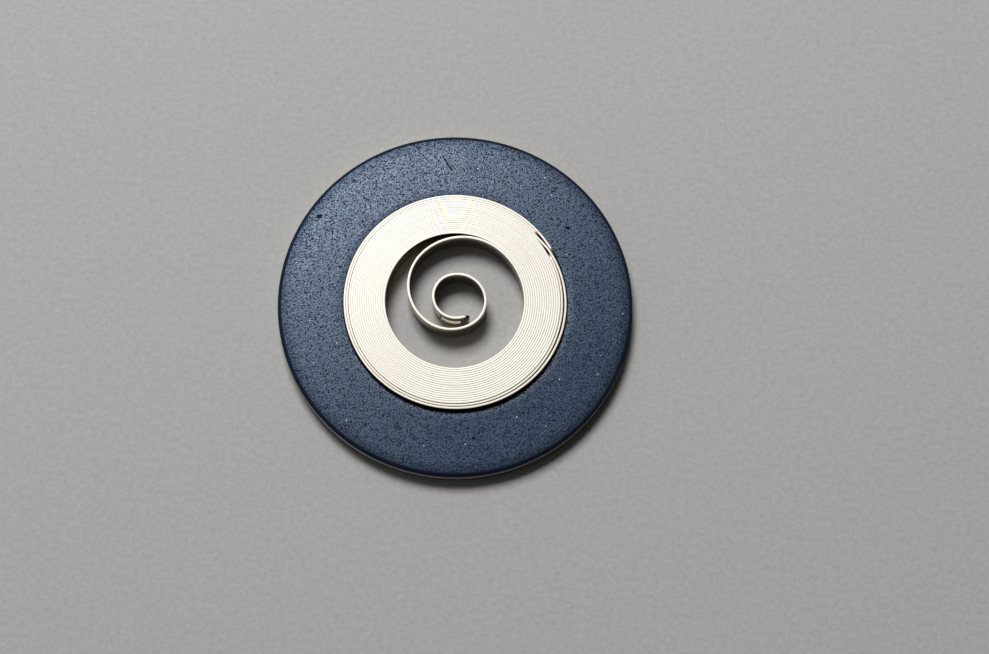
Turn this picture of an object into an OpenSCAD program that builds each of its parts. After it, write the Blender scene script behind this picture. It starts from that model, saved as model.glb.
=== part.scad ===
// Spiral power spring of a watch, wound and held in its steel ring.
// The origin is the centre of the ring on the plane that the part rests on, and +Z points up.

/* [Strip] */
// Height of the strip, from its lower edge to its upper edge
strip_height = 1.23; // [1:0.01:1.5]
// Thickness of the strip
strip_thickness = 0.1; // [0.08:0.005:0.12]
// Space that stays between two wound turns
turn_gap = 0.006; // [0.003:0.001:0.01]

/* [Winding] */
// Outer diameter of the wound spring
coil_d = 10.4; // [10.2:0.1:11.4]
// Turns that lie on each other, from the outer end to where the strip comes away
wound_turns = 17.07; // [14:0.01:17.5]
// Angle at which the outer end of the strip lies
outer_end_angle = 32; // [0:1:359]
// Straight steps in one wound turn
turn_steps = 60; // [48:12:72]
// Steps over which the last turn dives under the bridle
dive_steps = 8; // [6:1:12]
// Steps by which the bridle starts past the outer end
lap_steps = 2; // [2:1:3]

/* [Core] */
// Inner diameter of the innermost coil, where it grips the arbor
core_d = 2.026; // [1.8:0.01:2.2]
// Angle that the innermost coil covers before the tongue
core_sweep = 176; // [150:1:190]
// Length of the straight tongue at the inner end
tongue_length = 0.42; // [0.35:0.01:0.5]
// Radius of the tongue's two corners
tongue_corner_r = 0.25; // [0.1:0.01:0.3]
// Length of the eye that the arbor's hook catches
eye_length = 1.03; // [0.7:0.01:1.1]
// Height of the eye
eye_height = 0.38; // [0.3:0.01:0.5]
// Radius of the eye's corners
eye_corner_r = 0.06; // [0.02:0.01:0.15]
// Angle from the middle of the eye to the start of the tongue
eye_angle = 27; // [25:1:40]

/* [Ring] */
// Outer diameter of the ring
ring_d = 16.58; // [15:0.01:18]
// Thickness of the ring
ring_thickness = 0.9; // [0.6:0.05:0.95]
// Space between the wound spring and the hole of the ring
ring_clearance = 0.01; // [0.005:0.005:0.03]
// Bevel that breaks the ring's outer edges
ring_outer_bevel = 0.14; // [0.05:0.01:0.2]
// Bevel that breaks the edges of the ring's hole
ring_hole_bevel = 0.06; // [0.03:0.01:0.1]

/* [Hidden] */
// How far a cut runs past the surface that it starts from
overrun = 0.05;
// Step between two points on the free part of the strip
free_step_angle = 5;
// Angles that the free part turns through, from the wound turns to the innermost coil
free_sweeps = [83.5, 94.5, 70.5, 165.5];
// How far the radius of each free bend lies from the innermost coil's towards the wound turns'
free_radius_shares = [0.742, 0.535, 0.376, 0.109];

coil_r = coil_d / 2;
pitch = strip_thickness + turn_gap;
half_strip = strip_thickness / 2;
step_angle = 360 / turn_steps;
wound_steps = floor(wound_turns * turn_steps);
core_mid_r = core_d / 2 + half_strip;
ring_r = ring_d / 2;
ring_hole_r = coil_r + ring_clearance;
spring_top_colour = [0.93, 0.92, 0.87];
bridle_colour = [0.88, 0.87, 0.82];
ring_colour = [0.33, 0.38, 0.44];

// The step, counted from the outer end, at which the strip has passed under that end
gate_step = turn_steps;
// The step at which it has passed under the bridle's outer end as well
seat_step = turn_steps + lap_steps;
// The share of a turn over which each layer closes in by one pitch, before it runs level
closing_share = (turn_steps - lap_steps) / turn_steps;
// The strip closes in a little late in each turn, and the bridle only near its inner end
strip_closing_power = 1.5;
bridle_closing_power = 3;

// How many layers lie outside the strip at a step of the winding.
// The last turn lies on the ring, dives with a growing slope to the gate, then eases onto its seat.
function dive_layers(i) =
    i <= gate_step - dive_steps ? 0
    : i <= gate_step ? pow((i - gate_step + dive_steps) / dive_steps, 2)
    : 1 + sin(90 * (i - gate_step) / lap_steps);
function closing(u) = floor(u) + pow(min((u - floor(u)) / closing_share, 1), strip_closing_power);
function layers(i) = i < seat_step ? dive_layers(i) : 2 + closing((i - seat_step) / turn_steps);

function polar(r, a) = [r * cos(a), r * sin(a)];
function step_angle_at(i) = outer_end_angle + i * step_angle;
// A point of the wound strip at a depth into its thickness
function wound_point(i, depth) = polar(coil_r - layers(i) * pitch - depth, step_angle_at(i));

// The free part is a chain of arcs, each tangent to the one before it.
// A place on the chain is [point, heading], and the strip always bends to the left.
exit_angle = step_angle_at(wound_steps);
exit_r = coil_r - layers(wound_steps) * pitch - half_strip;
free_radii = [for (s = free_radius_shares) core_mid_r + s * (exit_r - core_mid_r)];
bend_radii = concat(free_radii, [core_mid_r]);
bend_sweeps = concat(free_sweeps, [core_sweep]);
function bend_centre(place, r) = place[0] + polar(r, place[1] + 90);
function after_bend(place, r, sweep) =
    [bend_centre(place, r) - polar(r, place[1] + sweep + 90), place[1] + sweep];
function bend_start(k) =
    k == 0 ? [polar(exit_r, exit_angle), exit_angle + 90]
    : after_bend(bend_start(k - 1), bend_radii[k - 1], bend_sweeps[k - 1]);
core_index = len(bend_radii) - 1;
core_start = bend_start(core_index);
core_centre = bend_centre(core_start, core_mid_r);
tongue_start = after_bend(core_start, core_mid_r, core_sweep);
tongue_heading = tongue_start[1];
tongue_tip = tongue_start[0] + polar(tongue_length, tongue_heading);

// One side of a bend, from the outer side of the strip (side 1) or the inner one (side -1)
function bend_side(k, side, trim) =
    let (
        place = bend_start(k),
        r = bend_radii[k],
        count = ceil(bend_sweeps[k] / free_step_angle)
    )
    [for (j = [1:count])
        bend_centre(place, r)
        - polar(r + side * half_strip - trim, place[1] + 90 + bend_sweeps[k] * j / count)];
function free_side(side) = [for (k = [0:core_index - 1]) each bend_side(k, side, 0)];
function tongue_point(side) = tongue_tip + polar(side * half_strip, tongue_heading - 90);
function flipped(points) = [for (i = [len(points) - 1:-1:0]) points[i]];

// The innermost coil's inner side is drawn a little inside its true face, which a cylinder then cuts.
strip_outline = concat(
    [for (i = [0:wound_steps]) wound_point(i, 0)],
    free_side(1),
    bend_side(core_index, 1, 0),
    [tongue_point(1), tongue_point(-1)],
    flipped(concat(
        [for (i = [0:wound_steps]) wound_point(i, strip_thickness)],
        free_side(-1),
        bend_side(core_index, -1, half_strip)
    ))
);

// The bridle lies one layer in, from its outer end to the gate, and closes in by one pitch.
bridle_steps = turn_steps - lap_steps;
function bridle_layers(i) = 1 + pow(i / bridle_steps, bridle_closing_power);
function bridle_point(i, depth) =
    polar(coil_r - bridle_layers(i) * pitch - depth, step_angle_at(i + lap_steps));
bridle_outline = concat(
    [for (i = [0:bridle_steps]) bridle_point(i, 0)],
    [for (i = [bridle_steps:-1:0]) bridle_point(i, strip_thickness)]
);

// A rectangle with rounded corners, round the origin
module rounded_rectangle(size, corner_r) {
    straight = [size.x - 2 * corner_r, size.y - 2 * corner_r];
    square([size.x, straight.y], center = true);
    square([straight.x, size.y], center = true);
    for (x = [-1, 1], y = [-1, 1])
        translate([x * straight.x / 2, y * straight.y / 2]) circle(r = corner_r, $fn = 24);
}

// The eye, cut straight through the innermost coil
module eye() {
    outward = tongue_heading - 90 - eye_angle;
    translate([core_centre.x, core_centre.y, strip_height / 2])
        rotate([90, 0, outward + 90])
            translate([0, 0, core_d / 4])
                linear_extrude(core_d / 4 + strip_thickness + overrun)
                    rounded_rectangle([eye_length, eye_height], eye_corner_r);
}

// What a corner of the tongue loses, drawn with the tip at the origin and the corner above and behind it
module corner_waste() {
    difference() {
        translate([-tongue_corner_r, -tongue_corner_r])
            square(tongue_corner_r + overrun);
        translate([-tongue_corner_r, -tongue_corner_r]) circle(r = tongue_corner_r, $fn = 48);
    }
}

module tongue_corners() {
    translate([tongue_tip.x, tongue_tip.y, strip_height / 2]) rotate([90, 0, tongue_heading])
        translate([0, 0, -half_strip - overrun]) linear_extrude(strip_thickness + 2 * overrun)
            for (flip = [0, 1]) mirror([0, flip, 0])
                translate([0, strip_height / 2]) corner_waste();
}

module mainspring() {
    color(spring_top_colour) difference() {
        linear_extrude(strip_height) polygon(strip_outline);
        translate([core_centre.x, core_centre.y, -overrun])
            cylinder(d = core_d, h = strip_height + 2 * overrun, $fn = 96);
        eye();
        tongue_corners();
    }
}

module bridle() {
    color(bridle_colour) linear_extrude(strip_height) polygon(bridle_outline);
}

// The ring's section, with its four edges broken at 45 degrees
ring_section = [
    [ring_hole_r + ring_hole_bevel, 0], [ring_r - ring_outer_bevel, 0],
    [ring_r, ring_outer_bevel], [ring_r, ring_thickness - ring_outer_bevel],
    [ring_r - ring_outer_bevel, ring_thickness], [ring_hole_r + ring_hole_bevel, ring_thickness],
    [ring_hole_r, ring_thickness - ring_hole_bevel], [ring_hole_r, ring_hole_bevel]
];

module retaining_ring() {
    color(ring_colour) rotate_extrude($fn = 180) polygon(ring_section);
}

retaining_ring();
mainspring();
bridle();
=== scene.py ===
# %% [markdown]
# # A watch's power spring, wound in its blued ring
# The part is a flat strip of spring alloy, wound tightly inside a flat steel ring, with its inner end left
# free as an open coil. This script dresses the finished model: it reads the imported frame, works out each
# surface with numpy, and gives every piece a material made from nodes.

import bpy
import numpy as np
from mathutils import Matrix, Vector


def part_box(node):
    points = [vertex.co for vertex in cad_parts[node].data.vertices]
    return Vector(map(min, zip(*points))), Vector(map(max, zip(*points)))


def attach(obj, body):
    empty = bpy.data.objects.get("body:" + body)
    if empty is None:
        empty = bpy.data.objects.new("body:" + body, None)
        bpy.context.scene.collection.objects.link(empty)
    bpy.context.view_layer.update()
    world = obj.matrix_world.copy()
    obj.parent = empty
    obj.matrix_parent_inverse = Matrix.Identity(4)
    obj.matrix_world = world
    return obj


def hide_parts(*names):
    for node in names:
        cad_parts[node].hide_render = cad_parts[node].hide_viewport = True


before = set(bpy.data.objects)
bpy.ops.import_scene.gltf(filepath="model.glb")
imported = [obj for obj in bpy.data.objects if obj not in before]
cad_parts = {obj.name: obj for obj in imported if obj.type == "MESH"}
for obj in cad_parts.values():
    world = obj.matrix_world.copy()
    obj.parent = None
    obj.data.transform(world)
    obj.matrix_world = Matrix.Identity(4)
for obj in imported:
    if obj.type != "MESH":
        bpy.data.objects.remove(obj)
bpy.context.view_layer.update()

MM = 0.001
scene = bpy.context.scene
print("nodes:", sorted(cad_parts))

# %% [markdown]
# ## Sizes
# The frame already holds the true places of the ring and the spring, so their outer sizes are read from it.
# The other values shape the strip, and follow the model's source, which a script can't read. Its layers are
# as wide here, but the strip fills nearly all of each, because the real turns touch. Lengths are in
# millimetres and angles in degrees.

# %% Sizes read from the frame, and the sizes that shape the strip
ring_low, ring_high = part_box("retaining_ring")
spring_low, spring_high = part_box("mainspring")

ring_r = (ring_high.x - ring_low.x) / 2 / MM
ring_thickness = (ring_high.z - ring_low.z) / MM
strip_height = (spring_high.z - spring_low.z) / MM
strip_base = spring_low.z / MM

coil_r = 5.2
ring_hole_r = 5.21
strip_thickness = 0.1045
turn_gap = 0.0015
pitch = strip_thickness + turn_gap
turn_angle = 360.0
outer_end_angle = 32.0
lap_angle = 12.0
dive_angle = 48.0
wound_angle = 6144.0
print(f"ring {2 * ring_r:.2f} mm across and {ring_thickness:.2f} mm thick")
print(f"strip {strip_height:.2f} mm high, one layer to each {pitch:.3f} mm of the radius")

# %% [markdown]
# ## How the strip lies
# On the real part one strip is wound on itself, and the bridle, a short second strip, lies between its outer
# turns. A spiral that shrinks evenly would leave no room where a strip ends. A count of the layers that lie
# outside each point does, because every layer takes one pitch of the radius. The last turn has none. It then
# dives under its own outer end and under the bridle's, and from there each turn closes in by one pitch, so
# that it always lies on the turn before it.

# %% The layers that lie outside the strip
seat_angle = turn_angle + lap_angle
closing_angle = turn_angle - lap_angle
strip_closing_power = 2.1
bridle_closing_power = 4.0


def layers_outside(angle):
    """Layers outside the strip: none, then the square of the dive's progress until one whole turn has
    passed, then a smooth step from one to two, then one more for each turn, gained as a power of the turn's
    share."""
    diving = np.clip((angle - turn_angle + dive_angle) / dive_angle, 0, 1) ** 2
    lap = np.clip((angle - turn_angle) / lap_angle, 0, 1)
    easing = 1 + lap ** 2 * (3 - 2 * lap)
    turns = np.maximum(angle - seat_angle, 0) / turn_angle
    share = np.clip((turns - np.floor(turns)) * turn_angle / closing_angle, 0, 1)
    wound = 2 + np.floor(turns) + share ** strip_closing_power
    return np.where(angle < turn_angle, diving, np.where(angle < seat_angle, easing, wound))


print(f"{layers_outside(wound_angle):.2f} layers lie outside the innermost wound turn")

# %% The wound part of the path
wound_step = 3.0


def wound_path(angle, layers):
    """Points and outward directions: the outer radius is the coil's less one pitch for each layer outside,
    and the path is the middle of the strip's thickness."""
    turned = np.radians(outer_end_angle + angle)
    outward = np.column_stack([np.cos(turned), np.sin(turned)])
    radius = coil_r - pitch * layers - strip_thickness / 2
    return radius[:, None] * outward, outward


wound = np.arange(0, wound_angle + wound_step / 2, wound_step)
wound_points, wound_outward = wound_path(wound, layers_outside(wound))
print(f"{len(wound)} stations on {wound_angle / turn_angle:.2f} wound turns")

# %% [markdown]
# ## The free inner end
# Where the strip comes away it relaxes into wide bends that tighten towards the innermost coil. A curve
# drawn by eye could follow them, but a chain of arcs can be measured: each arc starts where the last one
# stopped, with the same heading, so the bend never shows a corner. Past the last arc the end of the strip is
# a short straight tongue.

# %% The chain of arcs and the tongue
core_r = 1.013
core_mid_r = core_r + strip_thickness / 2
exit_r = np.hypot(*wound_points[-1])
bend_shares = np.array([0.742, 0.535, 0.376, 0.109, 0.0])
bend_radii = core_mid_r + bend_shares * (exit_r - core_mid_r)
bend_sweeps = np.array([83.5, 94.5, 70.5, 165.5, 176.0])
free_step = 3.0
tongue_length = 0.42
tongue_corner_r = 0.25
tongue_stations = 9


def follow_arc(start, heading, radius, sweep):
    """Points on an arc that bends left: the centre lies one radius to the left of the start, and each point
    is the centre less the radius along the direction left of the heading there."""
    left = np.radians(heading + 90)
    centre = start + radius * np.array([np.cos(left), np.sin(left)])
    steps = int(np.ceil(sweep / free_step))
    turned = left + np.radians(np.linspace(0, sweep, steps + 1)[1:])
    outward = -np.column_stack([np.cos(turned), np.sin(turned)])
    return centre, centre + radius * outward, outward


def free_path(start, heading):
    """The whole free end as points, outward directions, the last arc's centre and the tongue's heading. The
    tongue's stations crowd towards its tip as a sine, where its corners are round."""
    points, outwards = [], []
    for radius, sweep in zip(bend_radii, bend_sweeps):
        centre, arc, outward = follow_arc(start, heading, radius, sweep)
        points.append(arc)
        outwards.append(outward)
        start, heading = arc[-1], heading + sweep
    along = np.array([np.cos(np.radians(heading)), np.sin(np.radians(heading))])
    crowding = 1 - np.sin(np.linspace(0, np.pi / 2, tongue_stations))
    reach = tongue_length - tongue_corner_r * crowding
    points.append(start + reach[:, None] * along)
    outwards.append(np.tile(outwards[-1][-1], (len(reach), 1)))
    return np.vstack(points), np.vstack(outwards), centre, heading


free_points, free_outward, core_centre, tongue_heading = free_path(
    wound_points[-1], outer_end_angle + wound_angle + 90
)
print(f"{len(free_points)} stations on the free end, core centre {core_centre.round(3)}")

# %% The whole path and the length along it
def run_along(points):
    """The length of the path up to each point: the sum of the distances from point to point."""
    return np.r_[0, np.cumsum(np.linalg.norm(np.diff(points, axis=0), axis=1))]


strip_points = np.vstack([wound_points, free_points])
strip_outward = np.vstack([wound_outward, free_outward])
strip_run = run_along(strip_points)
print(f"strip {strip_run[-1]:.0f} mm long")

# %% [markdown]
# ## Carrying a section along the path
# The strip's section is a thin upright rectangle with rounded corners. A curve with a bevel could carry it,
# but a grid gives hold of every point: the section laid at each station of the path is one row of points,
# and the grid's cells are the faces. Tiny changes of height and of place from turn to turn make the turn
# lines show, as they do on a real wound spring.

# %% The strip's section
corner_r = 0.0015
corner_points = 4
crown = 0.001


def strip_section():
    """Corner arcs of a rounded rectangle, anticlockwise, as (place across, height above the middle). The
    top and the bottom rise by a crown to a point in their middle."""
    quarter = np.linspace(0, np.pi / 2, corner_points)
    half_width, half_height = strip_thickness / 2, strip_height / 2
    corners = []
    for turn, (sx, sz) in enumerate([(1, 1), (-1, 1), (-1, -1), (1, -1)]):
        angle = quarter + turn * np.pi / 2
        x = sx * (half_width - corner_r) + corner_r * np.cos(angle)
        z = sz * (half_height - corner_r - crown) + corner_r * np.sin(angle)
        corners.append(np.column_stack([x, z]))
    top, bottom = [[0, half_height]], [[0, -half_height]]
    return np.vstack([corners[0], top, corners[1], corners[2], bottom, corners[3]])


def wall_share(section):
    """0 on the strip's edges and 1 on its two flat sides, from the height above the middle."""
    return np.clip((strip_height / 2 - np.abs(section[:, 1]) - crown) / corner_r, 0, 1)


print(f"{len(strip_section())} points in the strip's section")

# %% Slow waves along the strip
edge_drop = 0.0115
drop_wavelength = 9.0
side_shift = 0.0005
shift_wavelength = 2.3


def smooth_noise(run, wavelength, seed):
    """A smooth random wave: values drawn at even steps and joined by cosines."""
    rng = np.random.default_rng(seed)
    place = run / wavelength
    values = rng.uniform(-1, 1, int(place.max()) + 3)
    low = place.astype(int)
    blend = (1 - np.cos(np.pi * (place - low))) / 2
    return values[low] * (1 - blend) + values[low + 1] * blend


print(f"edges drop by up to {edge_drop} mm and move sideways by up to {side_shift} mm")

# %% The strip's surface
rounded_from = 0.03


def add_field(mesh, name, values):
    """Stores one number for each point, for the materials to read."""
    mesh.attributes.new(name, "FLOAT", "POINT").data.foreach_set("value", values.astype(np.float32))


def strip_mesh(name, points, outward, run, seed, taper=0.0):
    """A closed tube: every station's section in the plane of its outward direction and Z, with end caps. The
    half height at a station is the strip's less its taper, and the upper edge drops by a smooth noise."""
    section = strip_section()
    count, size = len(points), len(section)
    half = strip_height / 2
    taper = np.broadcast_to(taper, count)
    drop = edge_drop * (1 + smooth_noise(run, drop_wavelength, seed)) / 2
    shift = side_shift * smooth_noise(run, shift_wavelength, seed + 1)
    across = section[None, :, 0] + shift[:, None]
    rise = section[None, :, 1]
    reach = half - taper[:, None] - np.where(rise > 0, drop[:, None], 0)
    grid = np.empty((count, size, 3))
    grid[..., :2] = points[:, None, :] + across[..., None] * outward[:, None, :]
    grid[..., 2] = strip_base + half + np.sign(rise) * (reach - (half - np.abs(rise)))
    row, column = np.meshgrid(np.arange(count - 1), np.arange(size), indexing="ij")
    after = (column + 1) % size
    faces = np.stack([
        row * size + column, (row + 1) * size + column, (row + 1) * size + after, row * size + after
    ], axis=-1).reshape(-1, 4)
    mesh = bpy.data.meshes.new(name)
    caps = [tuple(range(size)), tuple(range(count * size - 1, (count - 1) * size - 1, -1))]
    mesh.from_pydata((grid.reshape(-1, 3) * MM).tolist(), [], [tuple(f) for f in faces.tolist()] + caps)
    add_field(mesh, "along", np.repeat(run, size))
    add_field(mesh, "across", np.tile(section[:, 0] / strip_thickness + 0.5, count))
    add_field(mesh, "wall", np.tile(wall_share(section), count))
    add_field(mesh, "rounded", np.repeat(np.clip(taper / rounded_from, 0, 1), size))
    return mesh


# %% Put a mesh in the scene as a finished piece
def add_piece(mesh, node, material):
    """Adds the mesh as an object at the origin that stands for a CAD node."""
    piece = bpy.data.objects.new(mesh.name, mesh)
    scene.collection.objects.link(piece)
    mesh.materials.append(material)
    mesh.shade_smooth()
    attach(piece, "root")
    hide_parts(node)
    print(f"{piece.name}: {len(mesh.polygons)} faces")
    return piece


# %% [markdown]
# ## Nodes by name
# Every material here is a chain of the same few nodes. They could be set one by one, as in the node editor,
# but a short helper for each kind keeps the recipes readable.

# %% Helpers for node trees
def new_material(name):
    """A material, its node tree and its Principled shader."""
    material = bpy.data.materials.new(name)
    material.use_nodes = True
    tree = material.node_tree
    return material, tree, tree.nodes["Principled BSDF"]


def feed(tree, socket, value):
    """Links a value that is another node's output, and sets one that is a number or a colour."""
    if isinstance(value, bpy.types.NodeSocket):
        tree.links.new(value, socket)
    else:
        socket.default_value = value


def add_node(tree, kind, inputs=None, **settings):
    """One node with its settings and its inputs."""
    node = tree.nodes.new(kind)
    for key, value in settings.items():
        setattr(node, key, value)
    for key, value in (inputs or {}).items():
        feed(tree, node.inputs[key], value)
    return node


def math(tree, operation, a, b=0.0, c=0.0, clamp=False):
    """The output of one Math node."""
    node = add_node(tree, "ShaderNodeMath", operation=operation, use_clamp=clamp)
    for socket, value in zip(node.inputs, (a, b, c)):
        feed(tree, socket, value)
    return node.outputs[0]


def vector_math(tree, operation, inputs):
    """One Vector Math node."""
    return add_node(tree, "ShaderNodeVectorMath", inputs, operation=operation)


def mix(tree, factor, first, second):
    """The colour output of a Mix node, whose colour sockets are the ones numbered 6 and 7."""
    node = add_node(tree, "ShaderNodeMix", {0: factor, 6: first, 7: second}, data_type="RGBA")
    return node.outputs[2]


def ramp(tree, value, low, high):
    """0 at low, 1 at high, held beyond them, and a straight line between them."""
    inputs = {"Value": value, "From Min": low, "From Max": high}
    return add_node(tree, "ShaderNodeMapRange", inputs).outputs[0]


def field(tree, name):
    """The value of a stored number on the surface."""
    return add_node(tree, "ShaderNodeAttribute", attribute_name=name).outputs["Fac"]


def place_in_mm(tree):
    """Object coordinates, counted in millimetres."""
    coordinates = add_node(tree, "ShaderNodeTexCoord").outputs["Object"]
    scale = (1 / MM,) * 3
    return add_node(tree, "ShaderNodeMapping", {"Vector": coordinates, "Scale": scale}).outputs[0]


def noise(tree, vector, scale, detail=2.0, roughness=0.5):
    """A noise texture's value."""
    inputs = {"Vector": vector, "Scale": scale, "Detail": detail, "Roughness": roughness}
    return add_node(tree, "ShaderNodeTexNoise", inputs).outputs[0]


def bump(tree, shader, height, strength, distance):
    """Tilts the shader's normal by the slope of a height."""
    inputs = {"Height": height, "Strength": strength, "Distance": distance}
    tree.links.new(add_node(tree, "ShaderNodeBump", inputs).outputs[0], shader.inputs["Normal"])


def colour(red, green, blue):
    """A colour as read on a screen, 0 to 255, turned into the linear values that shaders take."""
    share = np.array([red, green, blue]) / 255
    linear = np.where(share <= 0.04045, share / 12.92, ((share + 0.055) / 1.055) ** 2.4)
    return (*linear.tolist(), 1.0)


# %% [markdown]
# ## The strip's finish
# The strip's edges are ground bright, with long faint streaks, and its flat sides keep a darker rolled skin.
# The pattern has to bend with the strip. Object coordinates would cut across the turns, so it follows two
# numbers that the mesh carries, the length along the strip and the share across its thickness.

# %% Spring alloy
bright_edge = colour(181, 179, 171)
streaked_edge = colour(184, 179, 164)
grained_edge = colour(166, 161, 146)
rolled_side = colour(172, 163, 149)
# Painted shade for the dark lines at the joints between turns:
turn_joint_shade = colour(112, 103, 88)
outer_rim_tone = colour(142, 116, 88)
outer_seam_tone = colour(92, 80, 62)
tongue_shade = colour(34, 30, 26)
# How often each pattern repeats, to a millimetre or, across the strip, to its thickness.
streak_along = 0.8
streak_across = 6.0
dash_scale = 2.6
joint_shade_along = 0.11
grain_scale = 12.0
relief_depth = 0.01 * MM


def spring_alloy(name):
    """Bright metal on the edges and darker on the sides. Streaks run along the strip. Each edge, by its two
    corners, takes a painted shade for the dark lines between turns where the noise along the strip passes a
    limit, and the outermost turn is darker all along, by the ring and by the turn inside it. The tongue's
    round corners are shaded."""
    material, tree, shader = new_material(name)
    across, run = field(tree, "across"), field(tree, "along")
    top = math(tree, "SUBTRACT", 1.0, field(tree, "wall"))
    # The patterns: streaks and dashes drawn out along the strip, and a fine grain.
    along = add_node(tree, "ShaderNodeCombineXYZ", {
        "X": math(tree, "MULTIPLY", run, streak_along), "Y": math(tree, "MULTIPLY", across, streak_across),
    }).outputs[0]
    streaks = noise(tree, along, 1.0, detail=4.0, roughness=0.6)
    dashes = noise(tree, along, dash_scale, detail=3.0, roughness=0.7)
    grain = noise(tree, place_in_mm(tree), grain_scale, detail=3.0)
    # The painted shade at the joints between turns grows and fades, over about a third of a turn.
    slow_run = math(tree, "MULTIPLY", run, joint_shade_along)
    slow = add_node(tree, "ShaderNodeCombineXYZ", {"X": slow_run}).outputs[0]
    strength = ramp(tree, noise(tree, slow, 1.0, detail=1.0), 0.40, 0.62)
    from_middle = math(tree, "ABSOLUTE", math(tree, "SUBTRACT", across, 0.5))
    # Painted shade on the edge's two corners, for the dark lines at the joints between turns.
    joint_shade_mask = math(tree, "MULTIPLY", ramp(tree, from_middle, 0.34, 0.48), ramp(tree, dashes, 0.40, 0.62))
    joint_shade_mask = math(tree, "MULTIPLY", joint_shade_mask, math(tree, "MULTIPLY_ADD", strength, 0.50, 0.03))
    # The outermost turn is darker by the ring and by the turn inside it.
    outermost = math(tree, "LESS_THAN", run, 2 * np.pi * coil_r)
    rim = math(tree, "MULTIPLY", outermost, ramp(tree, across, 0.80, 0.96))
    seam = math(tree, "MULTIPLY", outermost, ramp(tree, across, 0.22, 0.06))
    # The colours, one over another.
    streaked = math(tree, "MULTIPLY", ramp(tree, streaks, 0.42, 0.72), 0.4)
    grained = math(tree, "MULTIPLY", ramp(tree, grain, 0.55, 0.75), 0.25)
    tint = mix(tree, streaked, bright_edge, streaked_edge)
    tint = mix(tree, grained, tint, grained_edge)
    # The painted shade at the joints between turns.
    tint = mix(tree, joint_shade_mask, tint, turn_joint_shade)
    tint = mix(tree, math(tree, "MULTIPLY", rim, 0.7), tint, outer_rim_tone)
    tint = mix(tree, math(tree, "MULTIPLY", seam, 0.7), tint, outer_seam_tone)
    tint = mix(tree, top, rolled_side, tint)
    tint = mix(tree, math(tree, "MULTIPLY", field(tree, "rounded"), top), tint, tongue_shade)
    tree.links.new(tint, shader.inputs["Base Color"])
    shader.inputs["Metallic"].default_value = 1.0
    # The sides are smooth, and the ground edges rougher.
    rough = math(tree, "MULTIPLY_ADD", top, math(tree, "MULTIPLY_ADD", streaks, 0.15, 0.25), 0.20)
    tree.links.new(rough, shader.inputs["Roughness"])
    bump(tree, shader, grain, 0.15, relief_depth)
    print(f"{name}: {len(tree.nodes)} nodes")
    return material


alloy = spring_alloy("spring_alloy")

# %% [markdown]
# ## The main strip
# The inner end is a tongue with round corners, and the innermost coil has an eye for the arbor's hook. The
# corners come from a taper: near the tip the strip's half height shrinks as a circle's edge does. The eye is
# a slot through the coil. A hole has no place in a grid of sections, so a Boolean modifier cuts it.

# %% The strip, with the taper of its tongue
strip_seed = 11


def tongue_taper(run):
    """How much each station's half height loses: the corner radius less the circle's height there."""
    inside = np.clip(tongue_corner_r - (run[-1] - run), 0, tongue_corner_r)
    return tongue_corner_r - np.sqrt(np.maximum(tongue_corner_r ** 2 - inside ** 2, 0))


strip = strip_mesh(
    "spring_strip", strip_points, strip_outward, strip_run, strip_seed, tongue_taper(strip_run)
)
strip_piece = add_piece(strip, "mainspring", alloy)

# %% The eye's cutter
eye_length = 1.03
eye_height = 0.38
eye_corner_r = 0.06
eye_corner_points = 6
eye_angle = 27.0
cut_depth = 0.7


def slot_prism():
    """A prism with a rounded rectangle for its section: quarter circles at the corners, carried outward from
    halfway between the core's centre and its inner face."""
    turned = np.linspace(0, np.pi / 2, eye_corner_points)
    corner = eye_corner_r * np.column_stack([np.cos(turned), np.sin(turned)])
    right_top = corner + [eye_length / 2 - eye_corner_r, eye_height / 2 - eye_corner_r]
    left_top = right_top[::-1] * [-1, 1]
    outline = np.vstack([right_top, left_top, -right_top, -left_top])
    outward = np.radians(tongue_heading - 90 - eye_angle)
    out = np.array([np.cos(outward), np.sin(outward), 0])
    side = np.array([-np.sin(outward), np.cos(outward), 0])
    middle = np.array([*core_centre, strip_base + strip_height / 2])
    near = middle + out * core_r / 2 + outline[:, :1] * side + outline[:, 1:] * np.array([0, 0, 1])
    points = np.vstack([near, near + out * cut_depth])
    count = len(outline)
    first = np.arange(count)
    after = np.roll(first, -1)
    walls = np.column_stack([first, after, after + count, first + count])
    ends = [tuple(range(count - 1, -1, -1)), tuple(range(count, 2 * count))]
    mesh = bpy.data.meshes.new("eye_cutter")
    mesh.from_pydata((points * MM).tolist(), [], [tuple(wall) for wall in walls.tolist()] + ends)
    return mesh


def cut_with(piece, cutter_mesh):
    """Cuts the cutter's volume out of the piece and keeps the result as its mesh."""
    cutter = bpy.data.objects.new("cutter", cutter_mesh)
    scene.collection.objects.link(cutter)
    cut = piece.modifiers.new("cut", "BOOLEAN")
    cut.operation, cut.solver, cut.object = "DIFFERENCE", "EXACT", cutter
    bpy.context.view_layer.update()
    done = bpy.data.meshes.new_from_object(piece.evaluated_get(bpy.context.evaluated_depsgraph_get()))
    piece.modifiers.clear()
    piece.data = done
    bpy.data.objects.remove(cutter)


cut_with(strip_piece, slot_prism())
print(f"{strip_piece.name}: {len(strip_piece.data.polygons)} faces once the eye is cut")

# %% [markdown]
# ## The bridle
# The bridle is a second strip, just under one turn long, one layer in from the outside. It could be a copy
# of a stretch of the main strip, but it closes in only near its inner end, so it has a path of its own.

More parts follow.
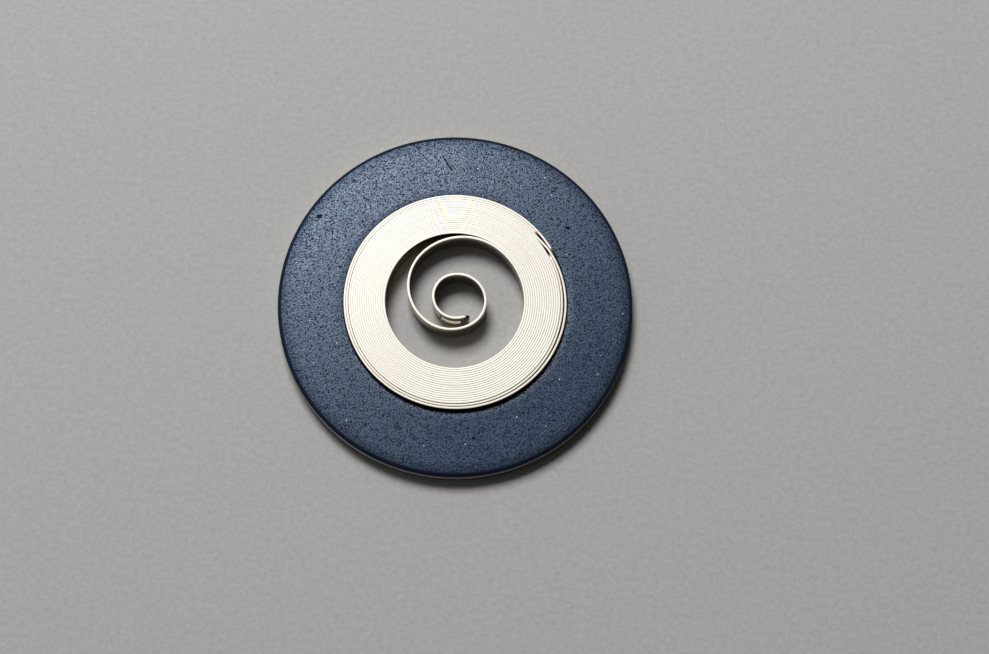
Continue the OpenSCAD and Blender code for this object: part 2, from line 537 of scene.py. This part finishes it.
# %% The bridle strip
bridle_seed = 29
bridle_angle = turn_angle - lap_angle
bridle_turn = np.arange(0, bridle_angle + wound_step / 2, wound_step)
bridle_layers = 1 + (bridle_turn / bridle_angle) ** bridle_closing_power
bridle_points, bridle_outward = wound_path(bridle_turn + lap_angle, bridle_layers)
bridle_run = run_along(bridle_points)
bridle = strip_mesh("bridle_strip", bridle_points, bridle_outward, bridle_run, bridle_seed)
add_piece(bridle, "bridle", alloy)
print(f"bridle {bridle_run[-1]:.1f} mm long")

# %% [markdown]
# ## The ring
# The ring is a flat washer that keeps the spring wound. Its edges are broken at 45 degrees, more outside
# than at the hole. A Bevel modifier could break them, but one section spun round the axis gives each edge
# its own size, and a small arc at each end of the slope.

# %% The ring's section
ring_outer_bevel = 0.14
ring_hole_bevel = 0.06
arc_share = 0.5
arc_points = 4
dull_width = 0.172
flat_circles = 9


def broken_corner(edge, turn):
    """A corner at the origin, broken at 45 degrees: a small arc leaves the wall one edge below the corner, a
    straight slope follows, and a second small arc joins the flat face one edge behind it. Turn counts
    quarter turns from the upper right corner."""
    small = edge * arc_share
    first = np.linspace(0, np.pi / 4, arc_points)
    second = np.linspace(np.pi / 4, np.pi / 2, arc_points)
    low = np.column_stack([small * np.cos(first) - small, small * np.sin(first) - edge])
    high = np.column_stack([small * np.cos(second) - edge, small * np.sin(second) - small])
    c, s = np.cos(turn * np.pi / 2), np.sin(turn * np.pi / 2)
    return np.vstack([low, high]) @ np.array([[c, s], [-s, c]])


def ring_section():
    """Broken corners of the ring's section as (radius, height), anticlockwise from the outer top corner. The
    flat faces between them get a few circles of points, so that the shading stays even."""
    places = [
        (ring_r, ring_thickness, ring_outer_bevel), (ring_hole_r, ring_thickness, ring_hole_bevel),
        (ring_hole_r, 0, ring_hole_bevel), (ring_r, 0, ring_outer_bevel),
    ]
    corners = [np.array([x, z]) + broken_corner(edge, turn) for turn, (x, z, edge) in enumerate(places)]
    dull_r, bevel_r = ring_r - dull_width, corners[1][0, 0]
    radii = np.r_[dull_r, np.linspace(dull_r, bevel_r, flat_circles)[1:-1]]
    flat = np.column_stack([radii, np.full(len(radii), ring_thickness)])
    return np.vstack([corners[0], flat, corners[1], corners[2], flat[::-1] * [1, 0], corners[3]])


print(f"{len(ring_section())} points in the ring's section")

# %% The ring's surface
ring_stations = 360


def spin(name, section, stations):
    """A closed surface of revolution: the radius times each station's direction, with the section's
    height."""
    turned = np.linspace(0, 2 * np.pi, stations, endpoint=False)
    size = len(section)
    grid = np.empty((stations, size, 3))
    grid[..., 0] = section[None, :, 0] * np.cos(turned)[:, None]
    grid[..., 1] = section[None, :, 0] * np.sin(turned)[:, None]
    grid[..., 2] = section[None, :, 1]
    row, column = np.meshgrid(np.arange(stations), np.arange(size), indexing="ij")
    next_row, next_column = (row + 1) % stations, (column + 1) % size
    faces = np.stack([
        row * size + column, next_row * size + column,
        next_row * size + next_column, row * size + next_column,
    ], axis=-1).reshape(-1, 4)
    mesh = bpy.data.meshes.new(name)
    mesh.from_pydata((grid.reshape(-1, 3) * MM).tolist(), [], [tuple(f) for f in faces.tolist()])
    return mesh


ring = spin("blued_ring", ring_section(), ring_stations)
print(f"{ring_stations} copies of the section in the ring")

# %% [markdown]
# ## The ring's finish
# Blued steel has a thin dark blue oxide skin, grey blue where it mirrors a window. Pits, a few scratches and
# bright specks break it. They could be painted on an image, but an image would be tied to one unfolding of
# the surface. Noise, cells and distances from a line, all in millimetres, lie the same way on every face.

# %% Marks on the ring
speck_scale = 2.2
speck_r = 0.075
speck_share = 0.3
# Each mark's start, end, width and strength. The short wide ones are pits.
ring_scratches = [
    ((-1.20, 7.21), (-0.76, 6.59), 0.055, 1.0),
    ((-6.78, 3.69), (-6.70, 3.69), 0.20, 0.45),
    ((-4.85, 4.87), (-4.35, 4.56), 0.03, 0.8),
    ((4.94, 4.13), (5.02, 4.07), 0.12, 0.7),
    ((1.33, -6.40), (1.40, -6.38), 0.10, 0.7),
]


def specks(tree, place):
    """Tiny dots: the cells of a Voronoi pattern whose random number is below a limit, near the cell's
    point."""
    cells = add_node(tree, "ShaderNodeTexVoronoi", {"Vector": place, "Scale": speck_scale})
    near = math(tree, "LESS_THAN", cells.outputs["Distance"], speck_r)
    chosen = add_node(tree, "ShaderNodeSeparateColor", {"Color": cells.outputs["Color"]}).outputs[0]
    return math(tree, "MULTIPLY", near, math(tree, "LESS_THAN", chosen, speck_share))


def scratch(tree, place, start, end, width):
    """1 on the line from start to end, and 0 a little over half the width away. The distance is the one from
    the place to its nearest point on the line, which is the start plus the line times the place's share
    along it, held between 0 and 1."""
    line = np.array(end) - np.array(start)
    offset = vector_math(tree, "SUBTRACT", {0: place, 1: (*start, ring_thickness)}).outputs[0]
    along = vector_math(tree, "DOT_PRODUCT", {0: offset, 1: (*line, 0)}).outputs["Value"]
    share = math(tree, "MULTIPLY", along, 1 / float(line @ line), clamp=True)
    nearest = vector_math(tree, "SCALE", {0: (*line, 0), "Scale": share}).outputs[0]
    apart = vector_math(tree, "DISTANCE", {0: offset, 1: nearest}).outputs["Value"]
    gone, full = width * 0.6, width * 0.35
    return ramp(tree, apart, gone, full)


def all_scratches(tree, place):
    """The strongest mark at each place."""
    marks = 0.0
    for start, end, width, strength in ring_scratches:
        mark = math(tree, "MULTIPLY", scratch(tree, place, start, end, width), strength)
        marks = math(tree, "MAXIMUM", marks, mark)
    return marks


print(f"{len(ring_scratches)} marks on the ring")

# %% Blue oxide
deep_blue = colour(3, 22, 50)
full_blue = colour(6, 28, 59)
pale_grain = colour(48, 74, 108)
pit_dark = colour(3, 7, 14)
speck_bright = colour(190, 196, 204)
edge_blue = colour(2, 9, 22)
# How often each pattern repeats, to a millimetre.
cloud_scale = 0.35
mottle_scale = 3.0
pit_scale = 12.0
cell_scale = 15.0
relief_scale = 14.0
# Where the skin starts to darken, and where it is darkest, from the ring's outer radius.
fade_from = 0.55
fade_to = 0.02


def blue_oxide(name):
    """A dark blue skin with a fine mottle and dark pits, and a few worn specks and scratches. It grows
    darker and duller towards the rim."""
    material, tree, shader = new_material(name)
    place = place_in_mm(tree)
    # The patterns, from the widest to the finest.
    cloud = noise(tree, place, cloud_scale, detail=2.0)
    mottle = noise(tree, place, mottle_scale, detail=3.0, roughness=0.6)
    pits = ramp(tree, noise(tree, place, pit_scale, detail=2.5, roughness=0.65), 0.56, 0.615)
    cells = add_node(tree, "ShaderNodeTexVoronoi", {"Vector": place, "Scale": cell_scale}).outputs["Color"]
    grain = add_node(tree, "ShaderNodeSeparateColor", {"Color": cells}).outputs[0]
    marks = all_scratches(tree, place)
    # How near the rim a place is, with an uneven border.
    flat = vector_math(tree, "MULTIPLY", {0: place, 1: (1, 1, 0)}).outputs[0]
    radius = vector_math(tree, "LENGTH", {0: flat}).outputs["Value"]
    uneven = math(tree, "MULTIPLY_ADD", mottle, 0.3, radius)
    fade = ramp(tree, uneven, ring_r - fade_from, ring_r - fade_to)
    # The colours, one over another.
    skin = mix(tree, cloud, deep_blue, full_blue)
    skin = mix(tree, math(tree, "MULTIPLY", grain, 0.12), skin, pale_grain)
    skin = mix(tree, math(tree, "MULTIPLY", pits, 0.78), skin, pit_dark)
    skin = mix(tree, specks(tree, place), skin, speck_bright)
    skin = mix(tree, marks, skin, pit_dark)
    skin = mix(tree, math(tree, "MULTIPLY", fade, 0.8), skin, edge_blue)
    tree.links.new(skin, shader.inputs["Base Color"])
    # Pits and marks are rough, and the rest is the smoother the less grain and mottle it has.
    rough = math(tree, "MULTIPLY_ADD", grain, 0.20, math(tree, "MULTIPLY_ADD", mottle, 0.27, 0.08))
    broken = math(tree, "MAXIMUM", math(tree, "MULTIPLY", pits, 0.62), marks)
    tree.links.new(math(tree, "ADD", rough, broken, clamp=True), shader.inputs["Roughness"])
    # A dark metal mirrors nothing, so pits, marks and the rim lose the skin's pale reflection.
    sunk = math(tree, "MAXIMUM", marks, math(tree, "MULTIPLY", pits, 0.30))
    sunk = math(tree, "MAXIMUM", sunk, math(tree, "MULTIPLY", fade, 0.5))
    tree.links.new(sunk, shader.inputs["Metallic"])
    shader.inputs["Specular IOR Level"].default_value = 0.58
    shader.inputs["Specular Tint"].default_value = (0.66, 0.82, 1.0, 1.0)
    relief = noise(tree, place, relief_scale)
    bump(tree, shader, math(tree, "SUBTRACT", relief, math(tree, "MULTIPLY", pits, 0.8)), 0.50, relief_depth)
    print(f"{name}: {len(tree.nodes)} nodes")
    return material


add_piece(ring, "retaining_ring", blue_oxide("blue_oxide"))

# %% [markdown]
# ## The rim and the wall
# By the ring's outer edges the skin is dull and darkest, and the wall between them is bare turned steel. The
# wall could be a piece of its own, but it is the same solid, so its faces only take a second material,
# chosen by their distance from the axis.

# %% The dull rim
dull_dark = colour(4, 12, 28)
dull_blue = colour(20, 36, 58)
bright_steel = colour(208, 201, 188)
dark_steel = colour(182, 175, 163)
bare_middle = 0.54 * ring_thickness
bare_from = 0.32 * ring_thickness
bare_full = 0.20 * ring_thickness
worn_depth = 0.06 * ring_thickness
worn_scale = 6.0
dull_scale = 8.0
turning_scale = (0.3, 0.3, 40)


def dull_rim(name):
    """Dull oxide, and bare steel where the height is near the wall's middle, with a worn border. The steel's
    turned lines are a noise squeezed flat, so that it draws out round the ring."""
    material, tree, shader = new_material(name)
    place = place_in_mm(tree)
    height = add_node(tree, "ShaderNodeSeparateXYZ", {"Vector": place}).outputs["Z"]
    worn = math(tree, "MULTIPLY", noise(tree, place, worn_scale, detail=3.0), worn_depth)
    from_middle = math(tree, "ABSOLUTE", math(tree, "SUBTRACT", height, bare_middle))
    bare = ramp(tree, math(tree, "ADD", from_middle, worn), bare_from, bare_full)
    lines = vector_math(tree, "MULTIPLY", {0: place, 1: turning_scale}).outputs[0]
    turned = ramp(tree, noise(tree, lines, 1.0, detail=2.0), 0.35, 0.65)
    steel = mix(tree, turned, bright_steel, dark_steel)
    skin = mix(tree, noise(tree, place, dull_scale, detail=3.0), dull_dark, dull_blue)
    tree.links.new(mix(tree, bare, skin, steel), shader.inputs["Base Color"])
    tree.links.new(bare, shader.inputs["Metallic"])
    rough = math(tree, "SUBTRACT", 0.8, math(tree, "MULTIPLY", bare, 0.4))
    tree.links.new(rough, shader.inputs["Roughness"])
    shader.inputs["Specular IOR Level"].default_value = 0.15
    print(f"{name}: {len(tree.nodes)} nodes")
    return material


ring.materials.append(dull_rim("dull_rim"))
for face in ring.polygons:
    middle = face.center / MM
    face.material_index = int(middle.xy.length > ring_r - dull_width)
print(sum(face.material_index for face in ring.polygons), "faces on the rim and the wall")

# %% [markdown]
# ## Floor, light and camera
# The photo is a close view of the part on pale paper under soft daylight from the upper left. A picture of a
# real room could light it, but a square lamp for the window and a room that is brighter on its side are
# enough, and they stay easy to turn.

# %% The floor
paper_pale = colour(176, 176, 175)
paper_dark = colour(154, 153, 151)
fibre_scale = 4.0
tooth_depth = 0.1 * MM
floor_half = 400 * MM


def paper(name):
    """Pale matt paper with a faint uneven tooth."""
    material, tree, shader = new_material(name)
    fibres = noise(tree, place_in_mm(tree), fibre_scale, detail=5.0, roughness=0.8)
    shade = math(tree, "MULTIPLY", ramp(tree, fibres, 0.35, 0.65), 0.6)
    tree.links.new(mix(tree, shade, paper_pale, paper_dark), shader.inputs["Base Color"])
    shader.inputs["Roughness"].default_value = 0.9
    shader.inputs["Specular IOR Level"].default_value = 0.2
    bump(tree, shader, fibres, 0.25, tooth_depth)
    return material


floor_mesh = bpy.data.meshes.new("floor")
floor_corners = [(-1, -1, 0), (1, -1, 0), (1, 1, 0), (-1, 1, 0)]
floor_points = [tuple(floor_half * c for c in corner) for corner in floor_corners]
floor_mesh.from_pydata(floor_points, [], [(0, 1, 2, 3)])
floor = bpy.data.objects.new("floor", floor_mesh)
floor_mesh.materials.append(paper("paper"))
scene.collection.objects.link(floor)
print(f"floor {2 * floor_half:.1f} m across")

# %% The camera
image_width = 989
focal_px = 2041.6
sensor_width = 36.0
near_limit = 1 * MM
camera_distance = 95.0
camera_tilt = np.radians(16.113)
camera_roll = np.radians(-4.572)
aim_offset = np.array([-1.818, 1.241])


def place_at(thing, axes, place):
    """Gives an object its three axes and its place in millimetres."""
    matrix = np.eye(4)
    matrix[:3, :3] = np.column_stack(axes)
    matrix[:3, 3] = np.array(place) * MM
    thing.matrix_world = Matrix(matrix.tolist())
    scene.collection.objects.link(thing)


def camera_axes():
    """Right, up and back: the view is tipped from straight down towards the viewer, then rolled in its
    plane."""
    right = np.array([1.0, 0.0, 0.0])
    back = np.array([0.0, -np.sin(camera_tilt), np.cos(camera_tilt)])
    up = np.cross(back, right)
    c, s = np.cos(camera_roll), np.sin(camera_roll)
    return c * right - s * up, s * right + c * up, back


right, up, back = camera_axes()
spring_top = np.array([0, 0, strip_base + strip_height])
eye_place = spring_top - aim_offset[0] * right - aim_offset[1] * up + camera_distance * back
lens = bpy.data.cameras.new("camera")
lens.sensor_width = sensor_width
lens.lens = focal_px * sensor_width / image_width
lens.clip_start = near_limit
camera = bpy.data.objects.new("camera", lens)
place_at(camera, (right, up, back), eye_place)
scene.camera = camera
print(f"camera {np.degrees(np.pi / 2 - camera_tilt):.1f} degrees above the horizon")

# %% The lights
window_place = (-53, 117, 203)
window_size = 95
window_power = 0.60
window_tone = (1.0, 0.985, 0.97)
room_behind = (0.03, 0.03, 0.03, 1)
room_ahead = (0.28, 0.285, 0.29, 1)
room_side = (-0.75, 0.6, 0.1)


def soft_light(name, place, size, power, tone):
    """A square area light at a place in millimetres, turned towards the part."""
    lamp = bpy.data.lights.new(name, "AREA")
    lamp.size, lamp.energy, lamp.color = size * MM, power, tone
    towards = np.array(place, float) / np.linalg.norm(place)
    side = np.cross([0.0, 0.0, 1.0], towards)
    side /= np.linalg.norm(side)
    place_at(bpy.data.objects.new(name, lamp), (side, np.cross(towards, side), towards), place)


def room(name, behind, ahead, side):
    """Light from all round that grows from behind to ahead, the more a direction leans towards the side."""
    world = bpy.data.worlds.new(name)
    world.use_nodes = True
    tree = world.node_tree
    towards = add_node(tree, "ShaderNodeTexCoord").outputs["Generated"]
    lean = vector_math(tree, "DOT_PRODUCT", {0: towards, 1: side}).outputs["Value"]
    level = mix(tree, ramp(tree, lean, 0.0, 0.5), behind, ahead)
    tree.links.new(level, tree.nodes["Background"].inputs["Color"])
    return world


soft_light("window", window_place, window_size, window_power, window_tone)
scene.world = room("room", room_behind, room_ahead, room_side)
scene.view_settings.view_transform = "Standard"
print(f"window {np.linalg.norm(window_place):.0f} mm away")
